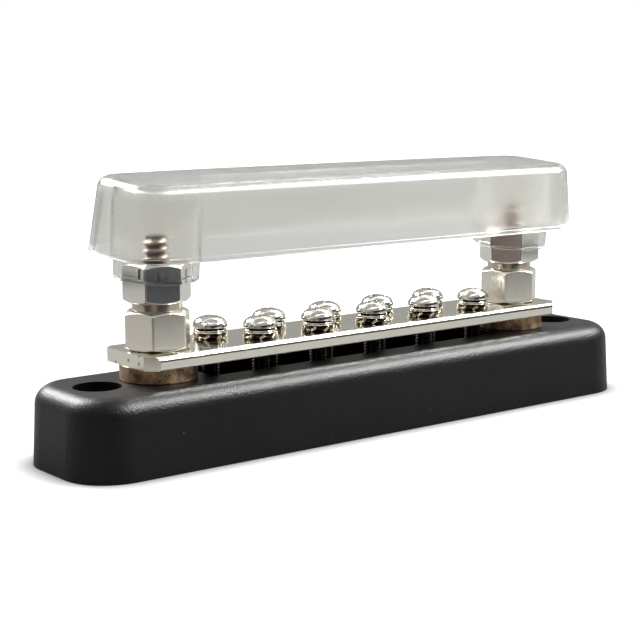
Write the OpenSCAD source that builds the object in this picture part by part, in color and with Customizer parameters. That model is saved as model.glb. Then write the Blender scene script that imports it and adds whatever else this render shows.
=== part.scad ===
/* [Terminal screws] */
// Screws in each of the two staggered rows
screws_per_row = 5; // [3:1:6]
// Distance between screws of one row
screw_pitch = 16.15; // [14:0.05:20]
// Shift along the bar between the two rows
row_stagger = 8.8; // [8:0.1:10]
// Distance of each row from the middle line of the bar
row_offset = 3.5; // [3:0.05:4]
// Diameter of the screw thread
screw_d = 4; // [3.5:0.1:4.5]
// Diameter of the domed pan head
screw_head_d = 7.8; // [7:0.1:8.4]
// Height of the straight rim of the head
screw_rim_h = 0.8; // [0.6:0.1:1.4]
// Rise of the head's dome above its rim
screw_dome_h = 2.4; // [2.1:0.1:2.8]
// Radius of the shoulder between the head's rim and its crown
screw_shoulder_r = 1.8; // [1:0.1:2]
// Length across the cross recess in the head
recess_l = 4.4; // [3.6:0.1:5]
// Width of a wing of the cross recess
recess_w = 1; // [0.7:0.1:1.3]
// Depth of the cross recess below the top of the dome
recess_depth = 1.7; // [1:0.1:2.2]
// Diameter of the flat washer under the head
ring_washer_d = 7.4; // [6.8:0.1:8]
// Thickness of the flat washer
ring_washer_t = 0.7; // [0.4:0.1:1]
// Diameter over the teeth of the lock washer under the flat washer
tooth_washer_d = 7.8; // [7:0.1:8.4]
// Diameter of the ring that carries the teeth
tooth_ring_d = 5.8; // [5.4:0.1:6.2]
// Teeth on the lock washer
tooth_count = 8; // [6:1:9]
// Width of a tooth before it is twisted
tooth_w = 1.6; // [1.3:0.1:2.2]
// Sheet thickness of the lock washer
tooth_t = 0.5; // [0.4:0.1:0.6]
// Twist of each tooth out of the sheet
tooth_twist = 34; // [25:1:52]

/* [Bus bar] */
// Width of the bar
bar_w = 20.2; // [18:0.1:24]
// Thickness of the bar
bar_t = 3; // [2.4:0.1:4]
// Radius of the bar's rolled upper edges
bar_edge_r = 1.2; // [0.6:0.1:1.5]
// Radius of the bar's lower edges
bar_foot_r = 0.4; // [0.2:0.1:0.6]
// Length of bar past each stud
bar_overhang = 8.25; // [8:0.05:12]
// Leg of the clipped corners of the bar
bar_clip = 2.6; // [1:0.1:4]
// Distance from a stud to the nearest terminal screw along the bar
stud_gap = 15.75; // [14:0.05:20]

/* [Studs and nuts] */
// Diameter of the power studs
stud_d = 6; // [5:0.1:6.4]
// Length of stud that stands past the upper nut
stud_reach = 5.4; // [4:0.1:8]
// Width across flats of the stud's head under the base
stud_head_af = 10; // [9:0.1:11]
// Height of the stud's head
stud_head_h = 4; // [3:0.1:5]
// Depth of the stud's head above the underside of the base
stud_head_sink = 2; // [1:0.1:3]
// Width across flats of the nuts
nut_af = 13; // [12:0.1:13.6]
// Height of the nuts
nut_h = 8.4; // [7.5:0.1:10]
// How far the nuts' round end faces lie inside the flats
nut_face_inset = 0.3; // [0.1:0.1:0.6]
// Slope of the turned ends of the nuts
nut_slope = 30; // [20:1:40]
// Turn of the lower nuts about their studs, left and right
clamp_nut_turns = [-9.9, -21.5];
// Turn of the upper nuts about their studs, left and right
terminal_nut_turns = [-20.3, 8.4];
// Diameter of the spring washer between the nuts
lock_washer_d = 10.8; // [10:0.1:12]
// Thickness of the spring washer
lock_washer_t = 1.8; // [1.2:0.1:2.4]
// Width of the split in the spring washer
lock_washer_split = 1; // [0.6:0.1:1.4]
// Slant of the split in the spring washer
lock_washer_slant = 30; // [15:1:45]
// Diameter of the brass spacers under the bar
spacer_d = 16.9; // [14:0.1:18]
// Height of the brass spacers
spacer_h = 3.5; // [2.6:0.1:6]

/* [Base] */
// Width of the base at its foot
base_w = 32.6; // [29:0.1:40]
// Height of the base
base_h = 17.2; // [15:0.1:24]
// Distance from a stud to the mounting hole beside it
mount_offset = 15.2; // [15.1:0.1:20]
// Length of base past each mounting hole
base_margin = 11.25; // [9:0.05:16]
// Radius of the base's corners at its foot
base_corner_r = 10.7; // [6:0.1:14]
// How far the base's walls lean in over their height
base_lean = 0.9; // [0:0.1:1.5]
// Radius of the base's top edge
base_edge_r = 4.2; // [2:0.1:5]
// Diameter of the mounting screw holes
mount_hole_d = 5.3; // [4:0.1:6]
// Diameter of the recess for the mounting screw's head
mount_recess_d = 10.4; // [9:0.1:11]
// Thickness of base left under the mounting screw's head
mount_floor = 6; // [4:0.1:10]
// Depth of the slot in the base's top that takes the tails of the terminal screws
tail_slot_depth = 4.4; // [3.5:0.1:5]
// Distance from a stud to the end of that slot
tail_slot_gap = 10.2; // [9:0.1:11]
// Thickness of the walls round the cored underside
core_wall = 3; // [2.4:0.1:4]
// Thickness of the ribs across the cored underside
core_rib = 2; // [1.6:0.1:3]
// Thickness of the base's deck above the cored underside
core_deck = 7; // [6:0.1:9]
// Cored pockets along the base
core_columns = 6; // [5:1:8]
// Radius of the solid boss round each stud
boss_r = 9.5; // [8.5:0.1:11]

/* [Cover] */
// Height of the cover above its rim
cover_h = 15.8; // [14:0.1:24]
// Room between a collar's bore and the end wall's inner edge at the roof
cover_end = 0.7; // [0.2:0.1:3]
// Room between a collar and the side wall at the roof
cover_side = 0.8; // [0.4:0.1:3]
// Radius of the cover's corners at its rim
cover_corner_r = 7.5; // [4:0.1:10]
// How far the cover's walls lean in over their height
cover_lean = 2; // [0.5:0.1:3]
// Radius of the cover's top edge
cover_edge_r = 2.1; // [1:0.1:3]
// Thickness of the cover's walls and roof
cover_wall = 1.6; // [1.2:0.1:2]
// Height of the thickened lip round the rim
cover_lip_h = 1; // [0.8:0.1:2]
// How far the lip stands out from the wall
cover_lip = 0.2; // [0.2:0.05:0.6]
// Wall thickness of the collars that grip the nuts
collar_wall = 1.5; // [1:0.1:2]
// Height of upper nut that a collar covers
collar_grip = 3.9; // [3:0.1:7]
// Height of collar below the rim of the cover
collar_drop = 5.4; // [4:0.1:8]

/* [Fits] */
// Radial room between a thread and the part that turns on it
thread_clear = 0.05; // [0.02:0.01:0.1]
// Radial room between a stud or screw and a plain hole
hole_clear = 0.2; // [0.1:0.05:0.3]
// Radial room between a nut's corners and its collar
collar_clear = 0.18; // [0.1:0.01:0.3]
// Room between the tail of a terminal screw and the floor of its slot
tail_clear = 0.9; // [0.3:0.05:1.2]
// Room between the tails of the terminal screws and the sides of their slot
tail_side_clear = 0.6; // [0.3:0.05:1.5]

/* [Hidden] */
$fn = 64;
over = 1;
least_edge_r = 0.5;
least_corner_r = 3;
side_names = ["left", "right"];
row_names = ["back", "front"];
sides = [0, 1];
rows = [0, 1];
places = [0 : screws_per_row - 1];

function side_sign(side) = 2 * side - 1;
function hex_corner_d(af) = af / cos(30);
function row_y(row) = row == 0 ? row_offset : -row_offset;
function screw_x(row, place) = (place - (screws_per_row - 1) / 2) * screw_pitch
    + side_sign(row) * row_stagger / 2;
function screw_node(kind, row, place) = str(kind, "_", row_names[row], "_", place + 1);
function side_node(kind, side) = str(kind, "_", side_names[side]);

stud_x = (screws_per_row - 1) / 2 * screw_pitch + row_stagger / 2 + stud_gap;
mount_x = stud_x + mount_offset;
base_l = 2 * (mount_x + base_margin);
bar_l = 2 * (stud_x + bar_overhang);

bar_z = base_h + spacer_h;
bar_top = bar_z + bar_t;
tooth_washer_h = tooth_w * sin(tooth_twist) + tooth_t * cos(tooth_twist);
ring_washer_z = bar_top + tooth_washer_h;
screw_head_z = ring_washer_z + ring_washer_t;
screw_tail_z = base_h - tail_slot_depth + tail_clear;
screw_hole_d = screw_d + 2 * thread_clear;
washer_hole_d = screw_d + 2 * hole_clear;
tip_chamfer = 0.5;

stud_hole_d = stud_d + 2 * hole_clear;
nut_hole_d = stud_d + 2 * thread_clear;
stud_seat_z = stud_head_sink + stud_head_h;
lock_washer_z = bar_top + nut_h;
terminal_nut_z = lock_washer_z + lock_washer_t;
terminal_nut_top = terminal_nut_z + nut_h;
stud_top = terminal_nut_top + stud_reach;
nut_face_d = nut_af - 2 * nut_face_inset;

tail_slot_l = 2 * (stud_x - tail_slot_gap);
tail_slot_w = 2 * (row_offset + screw_d / 2 + tail_side_clear);
core_l = 2 * (stud_x - boss_r);
core_pocket_l = (core_l - (core_columns - 1) * core_rib) / core_columns;
core_pocket_w = (base_w - 2 * core_wall - core_rib) / 2;

collar_hole_d = hex_corner_d(nut_af) + 2 * collar_clear;
collar_d = collar_hole_d + 2 * collar_wall;
collar_z = terminal_nut_top - collar_grip;
rim_z = collar_z + collar_drop;
cover_top = rim_z + cover_h;
cover_inner_edge_r = max(cover_edge_r - cover_wall, least_edge_r);
cover_l = 2 * (stud_x + collar_hole_d / 2 + cover_end + cover_inner_edge_r + cover_wall + cover_lean);
cover_w = collar_d + 2 * (cover_side + cover_wall + cover_lean);

// Half section of a leaning wall with a rounded top edge, from a corner's axis outwards
module wall_section(foot_r, height, lean, edge_r) {
    slope = atan(lean / height);
    edge_x = foot_r - lean * (height - edge_r) / height - edge_r / cos(slope);
    touch = [edge_x + edge_r * cos(slope), height - edge_r + edge_r * sin(slope)];
    polygon([[0, 0], [foot_r, 0], touch, [edge_x, height - edge_r], [edge_x, height], [0, height]]);
    intersection() {
        translate([edge_x, height - edge_r]) circle(edge_r);
        polygon([[edge_x, height - edge_r], touch, [edge_x + edge_r, height], [edge_x, height]]);
    }
}

// Solid with leaning walls, rounded corners and a rounded top edge
module moulded_block(length, width, height, corner_r, lean, edge_r) {
    foot_r = min(corner_r, width / 2 - least_edge_r);
    run_l = length - 2 * foot_r;
    run_w = width - 2 * foot_r;
    translate([-run_l / 2, -run_w / 2, 0]) cube([run_l, run_w, height]);
    for (end = [0, 1]) {
        mirror([end, 0, 0]) {
            translate([run_l / 2, run_w / 2, 0]) rotate([90, 0, 0])
                linear_extrude(run_w) wall_section(foot_r, height, lean, edge_r);
            for (flank = [0, 1]) {
                mirror([0, flank, 0]) translate([run_l / 2, run_w / 2, 0])
                    rotate_extrude(angle = 90) wall_section(foot_r, height, lean, edge_r);
            }
        }
        mirror([0, end, 0]) translate([-run_l / 2, run_w / 2, 0]) rotate([90, 0, 90])
            linear_extrude(run_l) wall_section(foot_r, height, lean, edge_r);
    }
}

// Upright plate with rounded corners
module rounded_plate(length, width, height, corner_r) {
    linear_extrude(height) {
        square([length - 2 * corner_r, width], center = true);
        square([length, width - 2 * corner_r], center = true);
        for (x = [-1, 1], y = [-1, 1]) {
            translate([x * (length / 2 - corner_r), y * (width / 2 - corner_r)]) circle(corner_r);
        }
    }
}

module base_cores() {
    for (column = [0 : core_columns - 1], flank = [0, 1]) {
        translate([-core_l / 2 + column * (core_pocket_l + core_rib),
                   core_rib / 2 - flank * (core_pocket_w + core_rib), -over])
            cube([core_pocket_l, core_pocket_w, base_h - core_deck + over]);
    }
}

module base() {
    color("#242424") difference() {
        moulded_block(base_l, base_w, base_h, base_corner_r, base_lean, base_edge_r);
        base_cores();
        translate([0, 0, base_h]) cube([tail_slot_l, tail_slot_w, 2 * tail_slot_depth], center = true);
        for (side = [-1, 1]) {
            translate([side * mount_x, 0, -over]) cylinder(d = mount_hole_d, h = base_h + 2 * over);
            translate([side * mount_x, 0, mount_floor]) cylinder(d = mount_recess_d, h = base_h);
            translate([side * stud_x, 0, -over]) cylinder(d = stud_hole_d, h = base_h + 2 * over);
            translate([side * stud_x, 0, -over])
                cylinder(d = hex_corner_d(stud_head_af + 2 * hole_clear), h = stud_seat_z + over, $fn = 6);
        }
    }
}

// Cross-section of the bar, with its long edges rounded
module bar_section() {
    reach_y = bar_w / 2;
    edge_y = reach_y - bar_edge_r;
    foot_y = reach_y - bar_foot_r;
    edge_z = bar_t - bar_edge_r;
    polygon([
        [foot_y, 0], [reach_y, bar_foot_r], [reach_y, edge_z], [edge_y, bar_t],
        [-edge_y, bar_t], [-reach_y, edge_z], [-reach_y, bar_foot_r], [-foot_y, 0]
    ]);
    for (flank = [-1, 1]) {
        translate([flank * edge_y, edge_z]) circle(bar_edge_r);
        translate([flank * foot_y, bar_foot_r]) circle(bar_foot_r);
    }
}

// Outline of the bar from above, with its corners clipped
module bar_outline() {
    reach_x = bar_l / 2;
    reach_y = bar_w / 2 + over;
    clip = bar_clip + over;
    polygon([
        for (q = [[1, 1], [-1, 1], [-1, -1], [1, -1]], first = [0, 1])
            (q[0] * q[1] > 0) == (first == 0)
                ? [q[0] * reach_x, q[1] * (reach_y - clip)]
                : [q[0] * (reach_x - clip), q[1] * reach_y]
    ]);
}

module busbar() {
    color("#c9c5b8") translate([0, 0, bar_z]) difference() {
        intersection() {
            translate([-bar_l / 2 - over, 0, 0]) rotate([90, 0, 90])
                linear_extrude(bar_l + 2 * over) bar_section();
            translate([0, 0, -over]) linear_extrude(bar_t + 2 * over) bar_outline();
        }
        for (side = sides) translate([side_sign(side) * stud_x, 0, -over])
            cylinder(d = stud_hole_d, h = bar_t + 2 * over);
        for (row = rows, place = places) translate([screw_x(row, place), row_y(row), -over])
            cylinder(d = screw_hole_d, h = bar_t + 2 * over);
    }
}

module spacer(side) {
    color("#a07a52") translate([side_sign(side) * stud_x, 0, base_h]) difference() {
        cylinder(d = spacer_d, h = spacer_h);
        translate([0, 0, -over]) cylinder(d = stud_hole_d, h = spacer_h + 2 * over);
    }
}

module stud(side) {
    color("#b4aca0") translate([side_sign(side) * stud_x, 0, 0]) {
        translate([0, 0, stud_head_sink])
            cylinder(d = hex_corner_d(stud_head_af), h = stud_head_h, $fn = 6);
        translate([0, 0, stud_seat_z]) cylinder(d = stud_d, h = stud_top - tip_chamfer - stud_seat_z);
        translate([0, 0, stud_top - tip_chamfer])
            cylinder(d1 = stud_d, d2 = stud_d - 2 * tip_chamfer, h = tip_chamfer);
    }
}

// Six-sided nut with both ends turned down to a round face
module nut(turn) {
    corner_r = hex_corner_d(nut_af) / 2;
    turned_h = (corner_r - nut_face_d / 2) * tan(nut_slope);
    rotate([0, 0, turn]) difference() {
        intersection() {
            cylinder(r = corner_r, h = nut_h, $fn = 6);
            rotate_extrude() polygon([
                [0, 0],
                [nut_face_d / 2, 0],
                [corner_r, turned_h],
                [corner_r, nut_h - turned_h],
                [nut_face_d / 2, nut_h],
                [0, nut_h]
            ]);
        }
        translate([0, 0, -over]) cylinder(d = nut_hole_d, h = nut_h + 2 * over);
    }
}

module clamp_nut(side) {
    color("#b8b4a4") translate([side_sign(side) * stud_x, 0, bar_top]) nut(clamp_nut_turns[side]);
}

module lock_washer(side) {
    color("#98938a") translate([side_sign(side) * stud_x, 0, lock_washer_z]) difference() {
        cylinder(d = lock_washer_d, h = lock_washer_t);
        translate([0, 0, -over]) cylinder(d = nut_hole_d, h = lock_washer_t + 2 * over);
        translate([lock_washer_d / 2, 0, lock_washer_t / 2]) rotate([lock_washer_slant, 0, 0])
            cube([lock_washer_d, lock_washer_split, lock_washer_d], center = true);
    }
}

module terminal_nut(side) {
    color("#c4c4c4") translate([side_sign(side) * stud_x, 0, terminal_nut_z]) nut(terminal_nut_turns[side]);
}

// One tooth, laid along +X and twisted about its own length, with its foot in the carrying ring
module tooth(inner_r) {
    translate([inner_r, 0, tooth_washer_h / 2]) rotate([tooth_twist, 0, 0])
        translate([0, -tooth_w / 2, -tooth_t / 2]) cube([tooth_washer_d / 2 - inner_r, tooth_w, tooth_t]);
}

module tooth_washer(row, place) {
    foot_r = (tooth_ring_d + washer_hole_d) / 4;
    color("#a8a498") translate([screw_x(row, place), row_y(row), bar_top]) difference() {
        union() {
            translate([0, 0, (tooth_washer_h - tooth_t) / 2]) cylinder(d = tooth_ring_d, h = tooth_t);
            for (i = [0 : tooth_count - 1]) rotate([0, 0, i * 360 / tooth_count]) tooth(foot_r);
        }
        translate([0, 0, -over]) cylinder(d = washer_hole_d, h = tooth_washer_h + 2 * over);
    }
}

module ring_washer(row, place) {
    color("#c8c4b8") translate([screw_x(row, place), row_y(row), ring_washer_z]) difference() {
        cylinder(d = ring_washer_d, h = ring_washer_t);
        translate([0, 0, -over]) cylinder(d = washer_hole_d, h = ring_washer_t + 2 * over);
    }
}

// Half section of the pan head: straight rim, shoulder arc, and a crown arc that runs on from it
module pan_section() {
    head_r = screw_head_d / 2;
    inner_r = head_r - screw_shoulder_r;
    head_top = screw_rim_h + screw_dome_h;
    crown_r = (pow(inner_r, 2) / (screw_dome_h - screw_shoulder_r) + screw_shoulder_r + screw_dome_h) / 2;
    crown_z = head_top - crown_r;
    reach = crown_r / (crown_r - screw_shoulder_r);
    touch = [inner_r * reach, crown_z + (screw_rim_h - crown_z) * reach];
    square([head_r, screw_rim_h]);
    intersection() {
        translate([0, crown_z]) circle(crown_r);
        polygon([[0, 0], [inner_r, screw_rim_h], touch, [touch[0], head_top + over], [0, head_top + over]]);
    }
    intersection() {
        translate([inner_r, screw_rim_h]) circle(screw_shoulder_r);
        polygon([[inner_r, screw_rim_h], [head_r, screw_rim_h], [head_r, touch[1]], touch]);
    }
}

module terminal_screw(row, place) {
    head_top = screw_rim_h + screw_dome_h;
    shank_l = screw_head_z - screw_tail_z;
    color("#d2cec2") translate([screw_x(row, place), row_y(row), screw_head_z]) {
        difference() {
            rotate_extrude() pan_section();
            for (turn = [0, 90]) rotate([0, 0, turn]) translate([0, 0, head_top])
                cube([recess_l, recess_w, 2 * recess_depth], center = true);
        }
        translate([0, 0, tip_chamfer - shank_l]) cylinder(d = screw_d, h = shank_l - tip_chamfer);
        translate([0, 0, -shank_l])
            cylinder(d1 = screw_d - 2 * tip_chamfer, d2 = screw_d, h = tip_chamfer);
    }
}

module cover_hollow() {
    inner_l = cover_l - 2 * cover_wall;
    inner_w = cover_w - 2 * cover_wall;
    inner_r = max(cover_corner_r - cover_wall, least_corner_r);
    translate([0, 0, rim_z])
        moulded_block(inner_l, inner_w, cover_h - cover_wall, inner_r, cover_lean, cover_inner_edge_r);
}

module cover() {
    roof_z = cover_top - cover_wall;
    color("#d6d8d4", 0.55) {
        difference() {
            union() {
                translate([0, 0, rim_z])
                    moulded_block(cover_l, cover_w, cover_h, cover_corner_r, cover_lean, cover_edge_r);
                translate([0, 0, rim_z]) rounded_plate(
                    cover_l + 2 * cover_lip,
                    cover_w + 2 * cover_lip,
                    cover_lip_h,
                    cover_corner_r + cover_lip);
            }
            cover_hollow();
        }
        for (side = sides) translate([side_sign(side) * stud_x, 0, 0]) difference() {
            translate([0, 0, collar_z]) cylinder(d = collar_d, h = roof_z - collar_z);
            translate([0, 0, collar_z - over]) cylinder(d = collar_hole_d, h = roof_z - collar_z + over);
        }
    }
}

base();
busbar();
for (side = sides) {
    spacer(side);
    stud(side);
    clamp_nut(side);
    lock_washer(side);
    terminal_nut(side);
}
for (row = rows, place = places) {
    tooth_washer(row, place);
    ring_washer(row, place);
    terminal_screw(row, place);
}
cover();
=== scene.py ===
import math

import bpy
import numpy as np
from mathutils import Matrix, Vector


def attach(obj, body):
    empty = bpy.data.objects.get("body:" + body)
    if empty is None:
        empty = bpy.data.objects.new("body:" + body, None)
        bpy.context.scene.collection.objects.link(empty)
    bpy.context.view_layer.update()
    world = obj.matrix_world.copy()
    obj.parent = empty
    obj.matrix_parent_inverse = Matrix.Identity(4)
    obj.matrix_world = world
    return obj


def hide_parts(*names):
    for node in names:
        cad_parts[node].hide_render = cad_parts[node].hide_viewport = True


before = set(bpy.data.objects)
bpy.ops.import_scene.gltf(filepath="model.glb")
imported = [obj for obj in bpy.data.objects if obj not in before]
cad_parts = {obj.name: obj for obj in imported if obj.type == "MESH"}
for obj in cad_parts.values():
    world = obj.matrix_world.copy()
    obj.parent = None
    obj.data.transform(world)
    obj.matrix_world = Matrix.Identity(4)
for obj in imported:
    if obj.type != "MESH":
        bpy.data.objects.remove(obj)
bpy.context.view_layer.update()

# Base: one long block of black ABS, injection moulded in a tool with a fine spark-eroded skin.
# Its walls lean in for draft, its top edge is well rounded, and two counterbored holes at the
# ends take the screws that hold it to a panel.
MM = 0.001


def linear(colour):
    """Linear RGBA of an sRGB hex colour: each channel goes through the inverse of the sRGB curve."""
    share = np.array([int(colour[i:i + 2], 16) for i in (1, 3, 5)]) / 255
    light = np.where(share <= 0.04045, share / 12.92, ((share + 0.055) / 1.055) ** 2.4)
    return (*light.tolist(), 1.0)


def add(tree, kind, inputs=None, **settings):
    """Adds a node, sets its properties, and sets or links each named or numbered input."""
    made = tree.nodes.new("ShaderNode" + kind)
    for name, value in settings.items():
        setattr(made, name, value)
    for socket, value in (inputs or {}).items():
        if isinstance(value, bpy.types.NodeSocket):
            tree.links.new(value, made.inputs[socket])
        else:
            made.inputs[socket].default_value = value
    return made


def surface(name, **plain):
    """A material with one Principled shader, whose plain sockets are set here; gives back its parts."""
    material = bpy.data.materials.new(name)
    material.use_nodes = True
    tree = material.node_tree
    shader = tree.nodes["Principled BSDF"]
    for socket, value in plain.items():
        shader.inputs[socket.replace("_", " ")].default_value = value
    place = add(tree, "TexCoord").outputs["Object"]
    return material, tree, shader, place


def dress(material, *names):
    """Gives CAD nodes this material."""
    for name in names:
        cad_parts[name].material_slots[0].material = material


# Moulded ABS: near black, with a satin skin of grains about 0.4 mm wide that blurs every
# reflection, slow changes of gloss where the melt flowed, and a few specks of pale dust.
abs_black, tree, shader, place = surface("moulded_black_abs", IOR=1.5, Specular_IOR_Level=0.3)
grain = add(tree, "TexNoise", {"Vector": place, "Scale": 1 / (0.4 * MM), "Detail": 2.0})
flow = add(tree, "TexNoise", {"Vector": place, "Scale": 1 / (14 * MM), "Detail": 3.0})
gloss = add(tree, "MapRange", {"Value": flow.outputs["Fac"], "From Min": 0.3, "From Max": 0.7,
                               "To Min": 0.36, "To Max": 0.41})
tree.links.new(gloss.outputs["Result"], shader.inputs["Roughness"])
skin_bump = add(tree, "Bump", {"Height": grain.outputs["Fac"], "Strength": 1.0, "Distance": 0.1 * MM})
tree.links.new(skin_bump.outputs["Normal"], shader.inputs["Normal"])
dust = add(tree, "TexVoronoi", {"Vector": place, "Scale": 1 / (7 * MM), "Randomness": 1.0})
speck = add(tree, "MapRange", {"Value": dust.outputs["Distance"], "From Min": 0.014, "From Max": 0.03,
                               "To Min": 0.55, "To Max": 0.0})
tint = add(tree, "Mix", {"Factor": flow.outputs["Fac"], 6: linear("#040404"), 7: linear("#070707")},
           data_type="RGBA")
dusty = add(tree, "Mix", {"Factor": speck.outputs["Result"], 6: tint.outputs[2], 7: linear("#8a8a84")},
            data_type="RGBA")
tree.links.new(dusty.outputs[2], shader.inputs["Base Color"])
dress(abs_black, "base")

# Power studs: M6 screws pushed up through the base from below, rolled thread, nickel plated steel.
# Only the end above the upper nut shows, through the cover.
SIDES = {"left": -1, "right": 1}
STUD_X, STUD_R, STUD_PITCH = 52.45, 3.0, 1.75
STUD_TOP, STUD_SEAT, STUD_FOOT, STUD_HEAD_AF = 47.7, 6.0, 2.0, 10.0
THREAD_DEPTH = 0.8


def skin(name, grid, wrap=False):
    """A closed mesh from a grid of points in mm, rows by columns, whose columns go round and wrap.

    Neighbouring points make quads. With wrap the last row joins the first, as on a ring; without
    it each end row is closed by a fan of triangles to its middle. Rows run so that the outside is
    on the right of their direction when the columns go counter-clockwise.
    """
    rows, around, _ = grid.shape
    index = np.arange(rows * around).reshape(rows, around)
    low = index if wrap else index[:-1]
    high = np.roll(index, -1, 0) if wrap else index[1:]
    quads = np.stack([low, np.roll(low, -1, 1), np.roll(high, -1, 1), high], -1).reshape(-1, 4)
    points = grid.reshape(-1, 3)
    faces = quads.tolist()
    if not wrap:
        points = np.concatenate([points, grid[:1].mean(1), grid[-1:].mean(1)])
        first, last = index[0], index[-1]
        foot = np.stack([np.roll(first, -1), first, np.full(around, rows * around)], -1)
        crown = np.stack([last, np.roll(last, -1), np.full(around, rows * around + 1)], -1)
        faces += foot.tolist() + crown.tolist()
    mesh = bpy.data.meshes.new(name)
    mesh.from_pydata(points * MM, [], faces)
    mesh.shade_smooth()
    mesh.set_sharp_from_angle(angle=math.radians(38))
    made = bpy.data.objects.new(name, mesh)
    bpy.context.scene.collection.objects.link(made)
    return made


def place_piece(piece, material, slot, body, *nodes):
    """Finish and body of a new piece, and the CAD nodes that it stands for, which are hidden. The slot
    is not used.
    """
    piece.data.materials.append(material)
    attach(piece, body)
    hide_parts(*nodes)


def lathe(radius, height, angle, centre):
    """Points at this radius, height and angle about an upright axis through centre, as a grid."""
    x, y, z = np.broadcast_arrays(radius * np.cos(angle), radius * np.sin(angle), height)
    return np.stack([x + centre[0], y + centre[1], z], -1)


def thread(radius, depth, pitch, height, angle):
    """Radius of a rolled right-hand thread: a triangle wave of the height less the turn's rise, with
    its tips and roots rounded by a smooth step."""
    phase = np.mod(height / pitch - angle / (2 * np.pi), 1.0)
    wave = np.clip(1.25 * np.abs(2 * phase - 1) - 0.125, 0, 1)
    return radius - depth * (1 - wave * wave * (3 - 2 * wave))


def hexagon(flats, angle, turn):
    """Radius of a hexagon across flats: half of it over the cosine of the angle to the nearest flat."""
    off = np.mod(angle - turn, np.pi / 3) - np.pi / 6
    return flats / 2 / np.cos(off)


def mark(piece, name, values):
    """Stores one number for each point of a piece, for its material to read; points past the end
    of the values, which close the ends, get the last of them."""
    layer = piece.data.attributes.new(name, "FLOAT", "POINT")
    full = np.full(len(piece.data.vertices), values.flat[-1], dtype=np.float32)
    full[:values.size] = values.ravel()
    layer.data.foreach_set("value", full)


# Nickel plate on a rolled thread: bright crests, and painted shade in the roots, coloured brown-black.
plated_steel, tree, shader, place = surface("nickel_plated_steel", Metallic=1.0)
film = add(tree, "TexNoise", {"Vector": place, "Scale": 1 / (1.2 * MM), "Detail": 3.0})
plate_tone = add(tree, "Mix", {"Factor": film.outputs["Fac"], 6: linear("#77695f"), 7: linear("#a8988d")},
           data_type="RGBA")
crest = add(tree, "Attribute", attribute_name="crest")
# Painted shade: the thread's roots are coloured brown-black, and the crests keep the plate's tone.
tint = add(tree, "Mix", {"Factor": crest.outputs["Fac"], 6: linear("#2a2220"), 7: plate_tone.outputs[2]},
           data_type="RGBA")
tree.links.new(tint.outputs[2], shader.inputs["Base Color"])
gloss = add(tree, "MapRange", {"Value": film.outputs["Fac"], "To Min": 0.3, "To Max": 0.4})
tree.links.new(gloss.outputs["Result"], shader.inputs["Roughness"])

angle = np.linspace(0, 2 * np.pi, 96, endpoint=False)[None, :]
shank = np.arange(STUD_SEAT, STUD_TOP - 0.05, STUD_PITCH / 8)[:, None]
cone = np.minimum(STUD_R, STUD_R - 0.9 + (STUD_TOP - shank))
ridge = np.minimum(thread(STUD_R, THREAD_DEPTH, STUD_PITCH, shank, angle), cone)
head = hexagon(STUD_HEAD_AF, angle, 0.0)
radius = np.concatenate([head * 0.93, head, head, ridge, np.full_like(angle, 1.9)])
height = np.concatenate([[[STUD_FOOT], [STUD_FOOT + 0.35], [STUD_SEAT]], shank, [[STUD_TOP]]])
crests = np.clip((radius - STUD_R + THREAD_DEPTH) / THREAD_DEPTH, 0, 1)
for side, sign in SIDES.items():
    stud = skin(f"threaded_stud_{side}", lathe(radius, height, angle, (sign * STUD_X, 0.0)))
    mark(stud, "crest", crests)
    place_piece(stud, plated_steel, "stud_steel", "frame", f"stud_{side}")

# Spacers: thick brass washers, turned and left raw, that hold the bar clear of the base.
# Handling has browned them, so old brass shows through in patches.
def soften(radius_mm, *names):
    """Rounds the sharp edges of CAD nodes: loose triangles are merged, edges bevelled to this
    radius, and normals weighted by face area so that flat faces stay flat."""
    for name in names:
        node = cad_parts[name]
        merge = node.modifiers.new("merge", "NODES")
        merge.node_group = merged_smooth
        bevel = node.modifiers.new("edges", "BEVEL")
        bevel.width = radius_mm * MM
        bevel.segments = 4
        bevel.limit_method = "ANGLE"
        bevel.angle_limit = math.radians(40)
        weight = node.modifiers.new("flats", "WEIGHTED_NORMAL")
        weight.keep_sharp = False


merged_smooth = bpy.data.node_groups.new("merged_smooth", "GeometryNodeTree")
merged_smooth.interface.new_socket("Geometry", in_out="INPUT", socket_type="NodeSocketGeometry")
merged_smooth.interface.new_socket("Geometry", in_out="OUTPUT", socket_type="NodeSocketGeometry")
group_in = merged_smooth.nodes.new("NodeGroupInput")
group_out = merged_smooth.nodes.new("NodeGroupOutput")
merger = merged_smooth.nodes.new("GeometryNodeMergeByDistance")
merger.inputs["Distance"].default_value = 0.001 * MM
smoother = merged_smooth.nodes.new("GeometryNodeSetShadeSmooth")
merged_smooth.links.new(group_in.outputs[0], merger.inputs["Geometry"])
merged_smooth.links.new(merger.outputs[0], smoother.inputs[0])
merged_smooth.links.new(smoother.outputs[0], group_out.inputs[0])

# Tarnished brass: golden brown, with darker blotches 1 to 3 mm wide and small dark pits.
old_brass, tree, shader, place = surface("tarnished_brass", Metallic=0.75, Roughness=0.45)
blotch = add(tree, "TexNoise", {"Vector": place, "Scale": 1 / (2.2 * MM), "Detail": 4.0,
                                "Roughness": 0.65})
pit = add(tree, "TexNoise", {"Vector": place, "Scale": 1 / (0.7 * MM), "Detail": 2.0})
stain = add(tree, "MapRange", {"Value": blotch.outputs["Fac"], "From Min": 0.36, "From Max": 0.66})
tint = add(tree, "Mix", {"Factor": stain.outputs["Result"], 6: linear("#745644"), 7: linear("#cdb08a")},
           data_type="RGBA")
pits = add(tree, "MapRange", {"Value": pit.outputs["Fac"], "From Min": 0.62, "From Max": 0.72,
                              "To Min": 0.0, "To Max": 0.8})
spotted = add(tree, "Mix", {"Factor": pits.outputs["Result"], 6: tint.outputs[2], 7: linear("#3a281c")},
              data_type="RGBA")
tree.links.new(spotted.outputs[2], shader.inputs["Base Color"])
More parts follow.
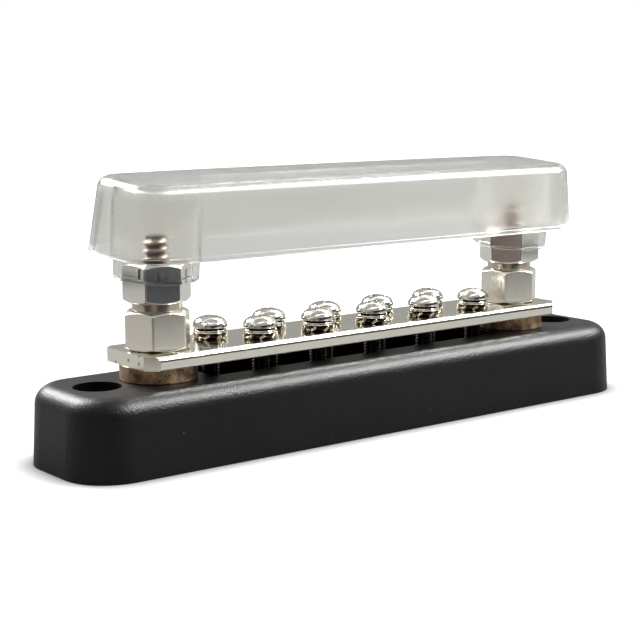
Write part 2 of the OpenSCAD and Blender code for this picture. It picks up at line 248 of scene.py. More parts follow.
pit_bump = add(tree, "Bump", {"Height": pit.outputs["Fac"], "Strength": 0.3, "Distance": 0.05 * MM})
tree.links.new(pit_bump.outputs["Normal"], shader.inputs["Normal"])
dress(old_brass, "spacer_left", "spacer_right")
soften(0.3, "spacer_left", "spacer_right")

# Bus bar: flat copper bar, sheared to length with its corners clipped, drilled and tapped, then
# plated with bright tin. Rolling has rounded its long edges.

# Bright tin plate: near a mirror, drawn out along the bar by the rolling, with a few round brown
# specks of copper, most of them at the handled left end.
tin_plate, tree, shader, place = surface("bright_tin_plate", Metallic=1.0)
stretch = add(tree, "Mapping", {"Vector": place, "Scale": (0.05, 1.0, 1.0)})
rolled = add(tree, "TexNoise", {"Vector": stretch.outputs["Vector"], "Scale": 1 / (0.5 * MM),
                                "Detail": 3.0})
cloud = add(tree, "TexNoise", {"Vector": place, "Scale": 1 / (6 * MM), "Detail": 3.0})
tint = add(tree, "Mix", {"Factor": cloud.outputs["Fac"], 6: linear("#e8e4d8"), 7: linear("#f2efe6")},
           data_type="RGBA")
scar = add(tree, "TexVoronoi", {"Vector": place, "Scale": 1 / (2.6 * MM), "Randomness": 1.0})
end = add(tree, "SeparateXYZ", {"Vector": place})
near_end = add(tree, "MapRange", {"Value": end.outputs["X"], "From Min": -59.0 * MM,
                                  "From Max": -56.0 * MM, "To Min": 0.2, "To Max": 0.04})
wear_and_painted_shade = add(tree, "Math", {0: near_end.outputs["Result"], 1: scar.outputs["Distance"]},
           operation="SUBTRACT")
nick = add(tree, "MapRange", {"Value": wear_and_painted_shade.outputs["Value"], "From Min": 0.0, "From Max": 0.08,
                              "To Min": 0.0, "To Max": 0.75})
nicked = add(tree, "Mix", {"Factor": nick.outputs["Result"], 6: tint.outputs[2], 7: linear("#5c4a38")},
             data_type="RGBA")
tree.links.new(nicked.outputs[2], shader.inputs["Base Color"])
gloss = add(tree, "MapRange", {"Value": rolled.outputs["Fac"], "From Min": 0.3, "From Max": 0.7,
                               "To Min": 0.1, "To Max": 0.16})
tree.links.new(gloss.outputs["Result"], shader.inputs["Roughness"])
roll_bump = add(tree, "Bump", {"Height": rolled.outputs["Fac"], "Strength": 0.08,
                               "Distance": 0.01 * MM})
tree.links.new(roll_bump.outputs["Normal"], shader.inputs["Normal"])
dress(tin_plate, "busbar")
soften(0.12, "busbar")

# Lower nuts: brass hexagon nuts, 13 mm across flats, nickel plated, that clamp the bar and its
# spacer to the base. Both ends are turned to a round face with a sloping edge.
NUT_AF, NUT_H, NUT_FACE_R, NUT_SLOPE, NUT_BORE_R = 13.0, 8.4, 6.2, math.radians(30), 3.05
BAR_TOP, NUT_EDGE, NUT_CORNER_R, CORNER_BLEND = 23.7, 0.12, 7.46, 40


def rounded_profile(corners, radius, steps=3):
    """A closed loop of (r, z) corners for each column, every corner cut back and bridged by a
    quadratic curve whose control point is the corner itself."""
    loop = np.stack(corners)
    back, ahead = np.roll(loop, 1, 0) - loop, np.roll(loop, -1, 0) - loop
    reach_back, reach_ahead = (np.linalg.norm(v, axis=-1, keepdims=True) for v in (back, ahead))
    start = loop + back / reach_back * np.minimum(radius, reach_back * 0.45)
    end = loop + ahead / reach_ahead * np.minimum(radius, reach_ahead * 0.45)
    t = np.linspace(0, 1, steps + 1)[:, None, None, None]
    bent = (1 - t) ** 2 * start + 2 * t * (1 - t) * loop + t ** 2 * end
    return np.moveaxis(bent, 0, 1).reshape(-1, *loop.shape[1:])


def hex_nut(name, centre, foot, turn):
    """A nut: for each angle the half section is a loop bore, round face, sloping edge, flat, sloping
    edge, round face, where the slope ends at the hexagon's radius there. A soft minimum with the
    corner radius rounds the hexagon's corners."""
    columns = np.linspace(0, 2 * np.pi, 216, endpoint=False)[None, :]
    rim = hexagon(NUT_AF, columns, turn)
    rim = -np.log(np.exp(-rim * CORNER_BLEND) + np.exp(-NUT_CORNER_R * CORNER_BLEND)) / CORNER_BLEND
    drop = (rim - NUT_FACE_R) * math.tan(NUT_SLOPE)
    bore = np.full_like(rim, NUT_BORE_R)
    face = np.full_like(rim, NUT_FACE_R)
    level = np.zeros_like(rim)
    corners = [np.stack(pair, -1)[0] for pair in (
        (bore, level), (face, level), (rim, drop), (rim, NUT_H - drop), (face, level + NUT_H),
        (bore, level + NUT_H))]
    loop = rounded_profile(corners, NUT_EDGE)
    grid = lathe(loop[..., 0], loop[..., 1] + foot, columns, centre)
    nut = skin(name, grid, wrap=True)
    nut.modifiers.new("flats", "WEIGHTED_NORMAL").keep_sharp = True
    return nut


# Nickel plate over turned brass: warm silver, satin from the turning, faintly clouded.
nickel_nut, tree, shader, place = surface("satin_nickel_plate", Metallic=1.0)
flatten = add(tree, "Mapping", {"Vector": place, "Scale": (1.0, 1.0, 0.15)})
draw = add(tree, "TexNoise", {"Vector": flatten.outputs["Vector"], "Scale": 1 / (0.4 * MM),
                              "Detail": 2.0})
cloud = add(tree, "TexNoise", {"Vector": place, "Scale": 1 / (3 * MM), "Detail": 3.0})
tint = add(tree, "Mix", {"Factor": cloud.outputs["Fac"], 6: linear("#e8e2d4"), 7: linear("#f4f0e6")},
           data_type="RGBA")
tree.links.new(tint.outputs[2], shader.inputs["Base Color"])
gloss = add(tree, "MapRange", {"Value": draw.outputs["Fac"], "From Min": 0.3, "From Max": 0.7,
                               "To Min": 0.16, "To Max": 0.24})
tree.links.new(gloss.outputs["Result"], shader.inputs["Roughness"])
draw_bump = add(tree, "Bump", {"Height": draw.outputs["Fac"], "Strength": 0.06, "Distance": 0.02 * MM})
tree.links.new(draw_bump.outputs["Normal"], shader.inputs["Normal"])
for side, turn in (("left", -9.9), ("right", -21.5)):
    centre = (SIDES[side] * STUD_X, 0.0)
    nut = hex_nut(f"lower_nut_{side}", centre, BAR_TOP, math.radians(turn))
    place_piece(nut, nickel_nut, "plated_nut", "frame", f"clamp_nut_{side}")

# Spring washers: split rings of square spring steel, plated, squeezed flat between the two nuts.
# Their rolled wire has round edges.

# Plated spring steel: a little darker than the nuts, clouded by the scale under its plate.
spring_steel, tree, shader, place = surface("plated_spring_steel", Metallic=1.0)
scale = add(tree, "TexNoise", {"Vector": place, "Scale": 1 / (0.8 * MM), "Detail": 3.0})
tint = add(tree, "Mix", {"Factor": scale.outputs["Fac"], 6: linear("#b0a898"), 7: linear("#d8d0c2")},
           data_type="RGBA")
tree.links.new(tint.outputs[2], shader.inputs["Base Color"])
gloss = add(tree, "MapRange", {"Value": scale.outputs["Fac"], "To Min": 0.1, "To Max": 0.18})
tree.links.new(gloss.outputs["Result"], shader.inputs["Roughness"])
dress(spring_steel, "lock_washer_left", "lock_washer_right")
soften(0.75, "lock_washer_left", "lock_washer_right")

# Upper nuts: the same plated nuts again, spun down on the spring washers. The cover's collars
# push over their upper halves.
UPPER_NUT_Z = 33.9

# Polished nickel plate: mirror bright, so its faces show the dim room in front of the part.
nickel_mirror, tree, shader, place = surface("polished_nickel_plate", Metallic=1.0)
cloud = add(tree, "TexNoise", {"Vector": place, "Scale": 1 / (3 * MM), "Detail": 3.0})
tint = add(tree, "Mix", {"Factor": cloud.outputs["Fac"], 6: linear("#e6e4de"), 7: linear("#f0efec")},
           data_type="RGBA")
tree.links.new(tint.outputs[2], shader.inputs["Base Color"])
gloss = add(tree, "MapRange", {"Value": cloud.outputs["Fac"], "From Min": 0.3, "From Max": 0.7,
                               "To Min": 0.06, "To Max": 0.1})
tree.links.new(gloss.outputs["Result"], shader.inputs["Roughness"])
for side, turn in (("left", -20.3), ("right", 8.4)):
    centre = (SIDES[side] * STUD_X, 0.0)
    nut = hex_nut(f"upper_nut_{side}", centre, UPPER_NUT_Z, math.radians(turn))
    place_piece(nut, nickel_mirror, "plated_nut", f"terminal_nut_{side}", f"terminal_nut_{side}")

# Tooth washers: external-tooth lock washers stamped from 0.5 mm spring steel, each tooth twisted
# out of the sheet so that it bites into the bar and the washer above it.
SCREW_PITCH, ROW_STAGGER, ROW_Y = 16.15, 8.8, 3.5
ROWS = {"back": (-1, ROW_Y), "front": (1, -ROW_Y)}
TEETH, TOOTH_W, TOOTH_T, TWIST, TURN_STEP = 8, 1.6, 0.5, math.radians(34), 0.37
TOOTH_HOLE_R, TOOTH_RING_R, TOOTH_END_R, TOOTH_H = 2.2, 2.9, 3.9, 1.309


def screw_places():
    """Row, number and centre of each terminal screw: two rows, shifted against each other."""
    for row, (sign, y) in ROWS.items():
        for number in range(1, 6):
            yield row, number, ((number - 3) * SCREW_PITCH + sign * ROW_STAGGER / 2, y)


def tooth_sheet(centre, level, turn):
    """Middle surface of the washer: rings of points by radius; outside the carrying ring each tooth
    is a straight strip whose sideways offset is turned about the tooth's own middle line by a twist
    that grows over the first third of its length. Gap columns have no faces there."""
    across = 9
    strip = np.linspace(-1, 1, across)
    radii = np.concatenate([np.linspace(TOOTH_HOLE_R, TOOTH_RING_R, 4),
                            np.linspace(3.05, TOOTH_END_R, 6)])
    middle = np.repeat(np.arange(TEETH) * 2 * np.pi / TEETH, across) + turn
    side = np.tile(strip, TEETH)
    r = radii[:, None]
    grow = np.clip((r - TOOTH_RING_R + 0.15) / 0.45, 0, 1)
    twist = TWIST * grow * grow * (3 - 2 * grow)
    half = np.minimum(TOOTH_W / 2 - 0.12, r * math.tan(np.pi / TEETH) * 0.98)
    offset = side * half
    along = np.sqrt(np.maximum(r * r - (offset * (1 - grow)) ** 2, 0.1))
    sideways, rise = offset * np.cos(twist), offset * np.sin(twist)
    x = along * np.cos(middle) - sideways * np.sin(middle) + centre[0]
    y = along * np.sin(middle) + sideways * np.cos(middle) + centre[1]
    points = np.stack([x, y, np.broadcast_to(level + rise, x.shape)], -1)
    index = np.arange(points.shape[0] * points.shape[1]).reshape(points.shape[:2])
    low, high = index[:-1], index[1:]
    quads = np.stack([low, high, np.roll(high, -1, 1), np.roll(low, -1, 1)], -1)
    last = np.arange(points.shape[1]) % across == across - 1
    gap = last[None, :] & (radii[1:, None] > TOOTH_RING_R)
    # Painted shade: the share is 0 inside a radius of 3 mm and rises to 1 at 3.5 mm, which darkens the
    # ring round the hole.
    wear_and_painted_shade = np.broadcast_to(np.clip((r - 3.0) / 0.5, 0, 1), x.shape)
    return points.reshape(-1, 3), quads[~gap], wear_and_painted_shade


# Plated spring steel, stamped: bright towards the teeth's ends, and painted shade, dark brown, round
# the ring under the screw head.
tooth_steel, tree, shader, place = surface("plated_stamped_steel", Metallic=1.0)
stamp = add(tree, "TexNoise", {"Vector": place, "Scale": 1 / (0.6 * MM), "Detail": 2.0})
plate_tone = add(tree, "Mix", {"Factor": stamp.outputs["Fac"], 6: linear("#c4b8a0"), 7: linear("#e6e0d2")},
           data_type="RGBA")
reach = add(tree, "Attribute", attribute_name="reach")
# Painted shade: where the reach share is 0, round the ring, the steel is coloured dark brown.
tint = add(tree, "Mix", {"Factor": reach.outputs["Fac"], 6: linear("#4a3626"), 7: plate_tone.outputs[2]},
           data_type="RGBA")
tree.links.new(tint.outputs[2], shader.inputs["Base Color"])
gloss = add(tree, "MapRange", {"Value": stamp.outputs["Fac"], "To Min": 0.14, "To Max": 0.28})
tree.links.new(gloss.outputs["Result"], shader.inputs["Roughness"])
for step, (row, number, centre) in enumerate(screw_places()):
    points, quads, wear_and_painted_shade = tooth_sheet(centre, BAR_TOP + TOOTH_H / 2, TURN_STEP * step)
    mesh = bpy.data.meshes.new(f"star_washer_{row}_{number}")
    mesh.from_pydata(points * MM, [], quads.tolist())
    mesh.shade_smooth()
    star = bpy.data.objects.new(mesh.name, mesh)
    bpy.context.scene.collection.objects.link(star)
    mark(star, "reach", wear_and_painted_shade)
    sheet = star.modifiers.new("sheet", "SOLIDIFY")
    sheet.thickness, sheet.offset = TOOTH_T * MM, 0.0
    edge = star.modifiers.new("edges", "BEVEL")
    edge.width, edge.segments, edge.angle_limit = 0.06 * MM, 2, math.radians(40)
    flats = star.modifiers.new("flats", "WEIGHTED_NORMAL")
    flats.keep_sharp = False
    place_piece(star, tooth_steel, "tooth_steel", f"washers_{row}_{number}",
                f"tooth_washer_{row}_{number}")

# Flat washers: plain stamped rings of steel, nickel plated and tumbled, which took their edges off.
# They sit captive under the screw heads.

# Bright nickel plate: a clear mirror with faint clouds about 1.6 mm wide.
nickel_bright, tree, shader, place = surface("bright_nickel_plate", Metallic=1.0)
cloud = add(tree, "TexNoise", {"Vector": place, "Scale": 1 / (1.6 * MM), "Detail": 3.0})
tint = add(tree, "Mix", {"Factor": cloud.outputs["Fac"], 6: linear("#d8d3c8"), 7: linear("#e8e5de")},
           data_type="RGBA")
tree.links.new(tint.outputs[2], shader.inputs["Base Color"])
gloss = add(tree, "MapRange", {"Value": cloud.outputs["Fac"], "From Min": 0.3, "From Max": 0.7,
                               "To Min": 0.07, "To Max": 0.13})
tree.links.new(gloss.outputs["Result"], shader.inputs["Roughness"])
for row, number, centre in screw_places():
    dress(nickel_bright, f"ring_washer_{row}_{number}")
    soften(0.22, f"ring_washer_{row}_{number}")

# Terminal screws: M4 pan-head machine screws with a cross recess, cold headed and thread rolled,
# nickel plated. Ten of them clamp the wires' ring terminals to the bar.
SCREW_R, SCREW_THREAD_P, SCREW_THREAD_D = 2.0, 0.7, 0.42
HEAD_R, HEAD_Z, HEAD_RIM, HEAD_DOME, TAIL_Z = 3.88, 25.709, 0.85, 2.2, 13.7
RECESS_HALF, RECESS_W, RECESS_DEPTH = 2.0, 0.9, 1.5


def cross_recess(x, y):
    """Depth of the recess: two crossing wings with sloping walls; each wing's floor rises from the
    middle towards its end, as the driver's tapered tip leaves it."""
    def wing(along, across):
        wall = np.clip((RECESS_W / 2 - np.abs(across)) / 0.16, 0, 1)
        floor = np.clip((RECESS_HALF - np.abs(along)) / 0.9, 0, 1)
        return wall * floor ** 0.6
    return RECESS_DEPTH * np.maximum(wing(x, y), wing(y, x))


def pan_screw(name, centre, turn):
    """A screw as rows of radius and height: tapered tip, thread, a hollow under the head, a short
    upright rim, and a dome that is a quarter ellipse in section, with the cross recess taken off
    its height."""
    columns = np.linspace(0, 2 * np.pi, 128, endpoint=False)[None, :]
    rise = np.arange(TAIL_Z + 0.1, HEAD_Z, SCREW_THREAD_P / 7)[:, None]
    taper = np.minimum(SCREW_R, 1.5 + (rise - TAIL_Z))
    ridge = np.minimum(thread(SCREW_R, SCREW_THREAD_D, SCREW_THREAD_P, rise, columns), taper)
    under = np.array([1.9, 2.8, 3.3, HEAD_R - 0.1, HEAD_R, HEAD_R])[:, None]
    under_z = HEAD_Z + np.array([0.0, 0.0, 0.22, 0.5, 0.6, HEAD_RIM])[:, None]
    lean = np.linspace(0, np.pi / 2, 44)[1:-1, None]
    dome_r, dome_z = HEAD_R * np.cos(lean) ** 0.92, HEAD_Z + HEAD_RIM + HEAD_DOME * np.sin(lean)
    radius = np.concatenate([np.broadcast_to(a, (len(a), columns.size)) for a in
                             (np.array([[1.45]]), ridge, under, dome_r)])
    height = np.concatenate([np.broadcast_to(a, (len(a), columns.size)) for a in
                             (np.array([[TAIL_Z]]), rise, under_z, dome_z)])
    depth = cross_recess(radius * np.cos(columns - turn), radius * np.sin(columns - turn))
    height = height - np.where(np.arange(len(radius))[:, None] >= len(radius) - len(lean), depth, 0.0)
    made = skin(name, lathe(radius, height, columns, centre))
    # Painted shade: points less than 0.45 mm above the head's seat, under the head and down the thread,
    # get 0.
    mark(made, "unshaded", np.where(height < HEAD_Z + 0.45, 0.0, 1.0))
    return made


# Nickel plate on the screw: a bright grey mirror on the head, and painted shade, dark, under the head
# and down the thread.
screw_plate, tree, shader, place = surface("nickel_plated_screw", Metallic=1.0)
cloud = add(tree, "TexNoise", {"Vector": place, "Scale": 1 / (1.6 * MM), "Detail": 3.0})
plate_tone = add(tree, "Mix", {"Factor": cloud.outputs["Fac"], 6: linear("#d4d0c8"), 7: linear("#e6e4de")},
           data_type="RGBA")
unshaded = add(tree, "Attribute", attribute_name="unshaded")
# Painted shade: where the share is 0, the plate is coloured dark grey-brown.
tint = add(tree, "Mix", {"Factor": unshaded.outputs["Fac"], 6: linear("#3e3a34"), 7: plate_tone.outputs[2]},
           data_type="RGBA")
tree.links.new(tint.outputs[2], shader.inputs["Base Color"])
gloss = add(tree, "MapRange", {"Value": cloud.outputs["Fac"], "From Min": 0.3, "From Max": 0.7,
                               "To Min": 0.06, "To Max": 0.1})
tree.links.new(gloss.outputs["Result"], shader.inputs["Roughness"])
RECESS_TURNS = {"back": (20, 65, 40, 10, 75), "front": (50, 30, 80, 15, 60)}
for row, number, centre in screw_places():
    turn = math.radians(RECESS_TURNS[row][number - 1])
    screw = pan_screw(f"pan_screw_{row}_{number}", centre, turn)
    place_piece(screw, screw_plate, "plated_screw", f"screw_{row}_{number}",
                f"terminal_screw_{row}_{number}")

# Cover: a trough of clear polycarbonate, injection moulded, whose two collars push onto the upper
# nuts. It was pushed on by hand and sits a little askew, its back edge higher than its front.
COVER_L, COVER_W, RIM_Z, ROOF_Z, COVER_WALL = 129.5, 27.0, 43.8, 59.6, 1.6
COVER_CORNER, COVER_LEAN, COVER_EDGE, ROOF_CROWN, RIM_EDGE = 8.1, 1.9, 2.2, 0.5, 0.06
LIP_H, LIP_OUT = 1.0, 0.07
COLLAR_R, COLLAR_BORE_R, COLLAR_FOOT, DRAFT_Z, COLLAR_TOP_WALL = 9.19, 7.69, 38.4, 41.5, 0.27
COVER_ASKEW, COVER_SINK = math.radians(4.2), math.radians(0.45)
COVER_PIVOT_Z, COVER_SHIFT = 40.3, (0.0, 0.0, 0.1)


def rounded_ring(half_l, half_w, corner, inset):
    """Rounded rectangles moved inwards by each inset: every corner is an arc of what is left of its
    radius, and straight runs between the arcs are cut into equal steps."""
    inset = np.asarray(inset)[:, None, None]
    left = np.maximum(corner - inset, 0.0)
    quarter = np.arange(4)[None, :, None]
    turn = (quarter + np.linspace(0, 1, 13)[None, None, :]) * np.pi / 2
    x = np.where((quarter == 0) | (quarter == 3), 1, -1) * (half_l - inset - left) + left * np.cos(turn)
    y = np.where(quarter < 2, 1, -1) * (half_w - inset - left) + left * np.sin(turn)
    arc = np.stack([x, y], -1)
    t = np.linspace(0, 1, 18)[None, None, 1:-1, None]
    run = arc[:, :, -1:] * (1 - t) + np.roll(arc, -1, 1)[:, :, :1] * t
    return np.concatenate([arc, run], 2).reshape(len(arc), -1, 2)


def moulded_block(name, half_l, half_w, corner, foot, top, edge, flare, lip=0.0):
    """A leaning block with a crowned roof: rings of a rounded rectangle whose inset follows the
    flared foot, the lip, which is moved towards the front, the leaning wall, a quarter round, and
    then runs in over the roof. The roof rises as one less the square of the share of its half width,
    times one less the fourth power of the share of its half length."""
    bend = np.linspace(0, np.pi / 2, 7)
    low_z, low_in = foot + RIM_EDGE * (1 - np.cos(bend)), flare * (1 - np.sin(bend))
    slope = COVER_LEAN / (ROOF_Z - RIM_Z)
    lip_z = foot + LIP_H + np.array([-0.1, 0.0, 0.06, 0.12, 0.3])
    wall_z = np.concatenate([lip_z, np.linspace(foot + 2 * LIP_H, top - edge, 10)])
    lip_in = -lip * np.clip(1 - (wall_z - foot - LIP_H) / 0.12, 0, 1)
    round_z, round_in = top - edge + edge * np.sin(bend[1:]), edge * (1 - np.cos(bend[1:]))
    roof_in = np.linspace(round_in[-1], half_w - COVER_LEAN - 0.05, 14)[1:]
    height = np.concatenate([low_z, wall_z, round_z, np.full(13, top)])
    inset = np.concatenate([low_in - lip, lip_in, round_in, roof_in])
    inset = inset + slope * np.maximum(np.minimum(height, top) - RIM_Z, 0.0)
    ring = rounded_ring(half_l, half_w, corner, inset)
    ring[..., 1] -= lip * (height < foot + LIP_H + 0.05)[:, None]
    rise = ROOF_CROWN * (1 - (ring[..., 1] / half_w) ** 2) * (1 - (ring[..., 0] / half_l) ** 4)
    lifted = height[:, None] + rise * np.clip((height[:, None] - top + edge) / edge, 0, 1)
    return skin(name, np.concatenate([ring, lifted[..., None]], -1))


def tube(name, centre, radius, upper, foot, top):
    """An upright round bar with a rounded lower edge, whose radius runs straight to another above
    the resting nut, as draft that also clears the rising nut."""
    columns = np.linspace(0, 2 * np.pi, 96, endpoint=False)[None, :]
    bend = np.linspace(0, np.pi / 2, 6)[:, None]
    edge = 0.35
    height = np.concatenate([foot + edge * (1 - np.cos(bend)), [[DRAFT_Z], [RIM_Z + 1.6], [top]]])
    draft = radius + (upper - radius) * (RIM_Z + 1.6 - DRAFT_Z) / (top - DRAFT_Z)
    reach = np.concatenate([radius - edge + edge * np.sin(bend), [[radius], [draft], [upper]]])
    return skin(name, lathe(reach, height, columns, centre))


def merged(name, first, *steps):
    """One mesh from a chain of unions and differences of closed pieces, which are then removed."""
    for operation, other in steps:
        step = first.modifiers.new(operation, "BOOLEAN")
        step.operation, step.object, step.solver = operation, other, "EXACT"
    bpy.context.view_layer.update()
    ready = first.evaluated_get(bpy.context.evaluated_depsgraph_get())
    mesh = bpy.data.meshes.new_from_object(ready)
    for used in (first, *(other for _, other in steps)):
        bpy.data.objects.remove(used)
    mesh.name = name
    whole = bpy.data.objects.new(name, mesh)
    bpy.context.scene.collection.objects.link(whole)
    return whole


shell = moulded_block("shell", COVER_L / 2, COVER_W / 2, COVER_CORNER, RIM_Z, ROOF_Z, COVER_EDGE,
                      RIM_EDGE, LIP_OUT)
hollow = moulded_block("hollow", COVER_L / 2 - COVER_WALL, COVER_W / 2 - COVER_WALL,
                       COVER_CORNER - COVER_WALL, RIM_Z - 0.2, ROOF_Z - COVER_WALL,
                       COVER_EDGE - COVER_WALL, -RIM_EDGE)
collars = [tube("collar", (sign * STUD_X, 0.0), COLLAR_R, COLLAR_R, COLLAR_FOOT, ROOF_Z - 0.8)
           for sign in SIDES.values()]
bores = [tube("bore", (sign * STUD_X, 0.0), COLLAR_BORE_R, COLLAR_R - COLLAR_TOP_WALL,
              COLLAR_FOOT - 1, ROOF_Z - COVER_WALL) for sign in SIDES.values()]
cover = merged("clear_cover", shell, ("DIFFERENCE", hollow), *(("UNION", c) for c in collars),
               *(("DIFFERENCE", b) for b in bores))
spots = np.empty(len(cover.data.vertices) * 3)
cover.data.vertices.foreach_get("co", spots)
spots = spots.reshape(-1, 3) / MM
near_stud = np.hypot(np.abs(spots[:, 0]) - STUD_X, spots[:, 1]) < COLLAR_R + 0.2
mark(cover, "scuffed", np.where(near_stud & (spots[:, 2] < RIM_Z + 1), 0.0, 1.0))
roof_l, roof_w = (size / 2 - COVER_LEAN - COVER_EDGE - 0.3 for size in (COVER_L, COVER_W))
off_roof = (np.abs(spots[:, 0]) > roof_l) | (np.abs(spots[:, 1]) > roof_w)
roof_edge = off_roof & ~near_stud & (spots[:, 2] > ROOF_Z - COVER_EDGE - 0.2)
mark(cover, "handled", np.where(roof_edge, 1.0, 0.0))
pivot = Matrix.Translation((0, 0, COVER_PIVOT_Z * MM))
askew = (Matrix.Translation(Vector(COVER_SHIFT) * MM) @ pivot @ Matrix.Rotation(COVER_ASKEW, 4, "X")
         @ Matrix.Rotation(COVER_SINK, 4, "Y") @ pivot.inverted())
cover.data.transform(askew)
cover.data.shade_smooth()
cover.data.set_sharp_from_angle(angle=math.radians(35))
flats = cover.modifiers.new("flats", "WEIGHTED_NORMAL")
flats.keep_sharp = True

# Clear polycarbonate: water clear in the collars, and scuffed to a haze elsewhere, more so towards
# the right, so what stands behind it is soft. Its edges gather bright lines, dulled by handling.
clear_pc, tree, shader, place = surface("clear_polycarbonate", Transmission_Weight=1.0, IOR=1.36,
                                         Specular_Tint=(0.5, 0.5, 0.5, 1.0))
haze = add(tree, "TexNoise", {"Vector": place, "Scale": 1 / (9 * MM), "Detail": 2.0})
along = add(tree, "SeparateXYZ", {"Vector": place})
wear_and_painted_shade = add(tree, "MapRange", {"Value": along.outputs["X"], "From Min": -50 * MM, "From Max": 0.0,
                              "To Min": 0.14, "To Max": 0.26})
upper = add(tree, "MapRange", {"Value": along.outputs["Z"], "From Min": 55.5 * MM,
                               "From Max": 57.5 * MM})
rubbed = add(tree, "Mix", {"Factor": upper.outputs["Result"], "A": wear_and_painted_shade.outputs["Result"], "B": 0.18})
scuffed = add(tree, "Attribute", attribute_name="scuffed")
skin_gloss = add(tree, "Mix", {"Factor": scuffed.outputs["Fac"], "A": 0.05,
                               "B": rubbed.outputs["Result"]})
handled = add(tree, "Attribute", attribute_name="handled")
gloss = add(tree, "Mix", {"Factor": handled.outputs["Fac"], "A": skin_gloss.outputs["Result"],
                          "B": 0.26})
tree.links.new(gloss.outputs["Result"], shader.inputs["Roughness"])
tint = add(tree, "Mix", {"Factor": haze.outputs["Fac"], 6: linear("#f4f4f1"), 7: linear("#fafaf8")},
           data_type="RGBA")
tree.links.new(tint.outputs[2], shader.inputs["Base Color"])
path = add(tree, "LightPath")
open_way = add(tree, "BsdfTransparent", {"Color": linear("#fafafa")})
passing = add(tree, "MixShader", {0: path.outputs["Is Shadow Ray"], 1: shader.outputs[0],
                                  2: open_way.outputs[0]})
tree.links.new(passing.outputs[0], tree.nodes["Material Output"].inputs["Surface"])
place_piece(cover, clear_pc, "clear_plastic", "cover", "cover")

# Floor: a table of pale card whose front edge lies a little in front of the part. Camera rays see
# it lifted to white by a glow, and the glow is cut down where ambient occlusion finds the part's foot:
# a painted contact shadow.
# Mirror and glass rays see the bare card, since the photograph's metal and cover show it grey.
VIEW_AZIMUTH, VIEW_ELEVATION, VIEW_ROLL = (math.radians(a) for a in (-37.763, 9.422, -0.337))
ahead = Vector((-math.sin(VIEW_AZIMUTH), math.cos(VIEW_AZIMUTH), 0))
across = Vector((math.cos(VIEW_AZIMUTH), math.sin(VIEW_AZIMUTH), 0))
FLOOR_NEAR, FLOOR_FAR, FLOOR_HALF, FLOOR_Z = -0.150, 2.5, 0.32, -0.00005
reach = np.array([[FLOOR_NEAR, -FLOOR_HALF], [FLOOR_NEAR, FLOOR_HALF],
                  [FLOOR_FAR, FLOOR_HALF], [FLOOR_FAR, -FLOOR_HALF]])
corners = reach[:, :1] * np.array(ahead)[None] + reach[:, 1:] * np.array(across)[None]
table_mesh = bpy.data.meshes.new("table")
table_mesh.from_pydata(corners + [0, 0, FLOOR_Z], [], [(0, 1, 2, 3)])
floor = bpy.data.objects.new("table", table_mesh)
bpy.context.scene.collection.objects.link(floor)

# Pale card: plain and matt.
white_card = bpy.data.materials.new("white_card")
white_card.use_nodes = True
tree = white_card.node_tree
tree.nodes.remove(tree.nodes["Principled BSDF"])
path = add(tree, "LightPath")
shade = add(tree, "AmbientOcclusion", {"Distance": 7 * MM})
# Painted contact shadow: the glow drops from 0.86 to 0.06 as the ambient occlusion within 7 mm falls
# from 0.96 to 0.5.
near_foot = add(tree, "MapRange", {"Value": shade.outputs["AO"], "From Min": 0.5, "From Max": 0.96,
                                   "To Min": 0.06, "To Max": 0.86})
lift = add(tree, "Math", {0: path.outputs["Is Camera Ray"], 1: near_foot.outputs["Result"]},
           operation="MULTIPLY")
glow = add(tree, "Emission", {"Color": (1, 1, 1, 1), "Strength": lift.outputs[0]})
card = add(tree, "BsdfDiffuse", {"Color": linear("#737372")})
both = add(tree, "AddShader", {0: card.outputs[0], 1: glow.outputs[0]})
tree.links.new(both.outputs[0], tree.nodes["Material Output"].inputs["Surface"])
table_mesh.materials.append(white_card)

# Studio: a grey wall behind, a pale ceiling, three soft boxes, and a dim room on the camera's side
# that the upright metal faces mirror: mauve to its left, dark blue ahead, lit low on its right.
# Camera rays see plain white.
world = bpy.data.worlds.new("studio")
bpy.context.scene.world = world
world.use_nodes = True
tree = world.node_tree
direction = add(tree, "TexCoord").outputs["Generated"]


def band(along, low, high, below, above):
    """A colour that goes smoothly from one to another as the direction turns along an axis."""
    share = add(tree, "VectorMath", {0: direction, 1: along}, operation="DOT_PRODUCT")
    step = add(tree, "MapRange", {"Value": share.outputs["Value"], "From Min": low, "From Max": high,
                                  "To Min": 0.0, "To Max": 1.0}, interpolation_type="SMOOTHSTEP")
    mixed = add(tree, "Mix", {"Factor": step.outputs["Result"], 6: below, 7: above}, data_type="RGBA")
    return mixed.outputs[2]


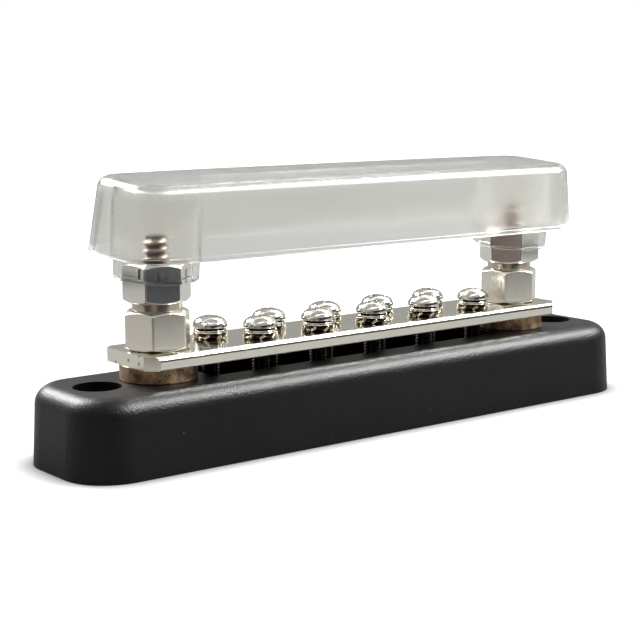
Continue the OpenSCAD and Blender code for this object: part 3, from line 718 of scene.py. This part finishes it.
room = band((0.0, 0.0, 1.0), -0.148, -0.128, (0.1, 0.105, 0.112, 1), (0.018, 0.021, 0.032, 1))
room = band((-0.87, -0.5, 0.0), 0.80, 0.97, room, (0.3, 0.225, 0.21, 1))
lit_side = band((0.0, 0.0, 1.0), -0.04, 0.06, (0.2, 0.22, 0.22, 1), (0.05, 0.038, 0.03, 1))
room = band((0.87, -0.5, 0.0), 0.55, 0.95, room, lit_side)
wall = (0.37, 0.37, 0.35, 1)
left_low = band((0.0, 0.0, 1.0), -0.1, 0.0, (0.035, 0.036, 0.038, 1), (0.42, 0.42, 0.4, 1))
left_wall = band((-0.985, 0.174, 0.0), 0.6, 0.95, room, left_low)
around = band(ahead, 0.0, 0.35, left_wall, wall)
studio = band((0.0, 0.0, 1.0), 0.25, 0.5, around, (0.5, 0.5, 0.49, 1))
path = add(tree, "LightPath")
shown = add(tree, "Mix", {"Factor": path.outputs["Is Camera Ray"], 6: studio, 7: (1, 1, 1, 1)},
            data_type="RGBA")
tree.links.new(shown.outputs[2], tree.nodes["Background"].inputs["Color"])


def soft_box(name, direction, distance, width, height, power):
    """A rectangular lamp at this distance along a direction from the part, facing the part."""
    lamp = bpy.data.lights.new(name, "AREA")
    lamp.shape, lamp.size, lamp.size_y, lamp.energy = "RECTANGLE", width, height, power
    box = bpy.data.objects.new(name, lamp)
    bpy.context.scene.collection.objects.link(box)
    spot = Vector(direction).normalized() * distance
    box.matrix_world = Matrix.Translation(spot) @ spot.to_track_quat("Z", "Y").to_matrix().to_4x4()


soft_box("left_soft_box", (-0.157, 0.772, 0.616), 2.0, 0.7, 0.7, 74.0)
soft_box("right_soft_box", (0.604, -0.3985, 0.69), 2.0, 1.4, 0.26, 100.0)
soft_box("rear_soft_box", (0.604, 0.15, 0.78), 2.0, 1.2, 0.26, 9.0)

# Camera: the place and lens that a fit of the part's edges to the photograph gave. It looks a
# little down on the part's front from the left, with a long lens and a slight roll.
camera_data = bpy.data.cameras.new("camera")
camera_data.sensor_width = 36.0
camera_data.lens = 1568.19 / 640 * camera_data.sensor_width
camera_data.clip_start, camera_data.clip_end = 0.01, 20.0
camera = bpy.data.objects.new("camera", camera_data)
bpy.context.scene.collection.objects.link(camera)
TARGET, DISTANCE = Vector((-8.273, 0.182, 25.015)) * MM, 363.625 * MM
back = Vector((math.sin(VIEW_AZIMUTH) * math.cos(VIEW_ELEVATION),
               -math.cos(VIEW_AZIMUTH) * math.cos(VIEW_ELEVATION), math.sin(VIEW_ELEVATION)))
level_up = back.cross(across)
right = across * math.cos(VIEW_ROLL) + level_up * math.sin(VIEW_ROLL)
up = level_up * math.cos(VIEW_ROLL) - across * math.sin(VIEW_ROLL)
turned = Matrix((right, up, back)).transposed().to_4x4()
camera.matrix_world = Matrix.Translation(TARGET + back * DISTANCE) @ turned
bpy.context.scene.camera = camera
bpy.context.scene.view_settings.view_transform = "Standard"
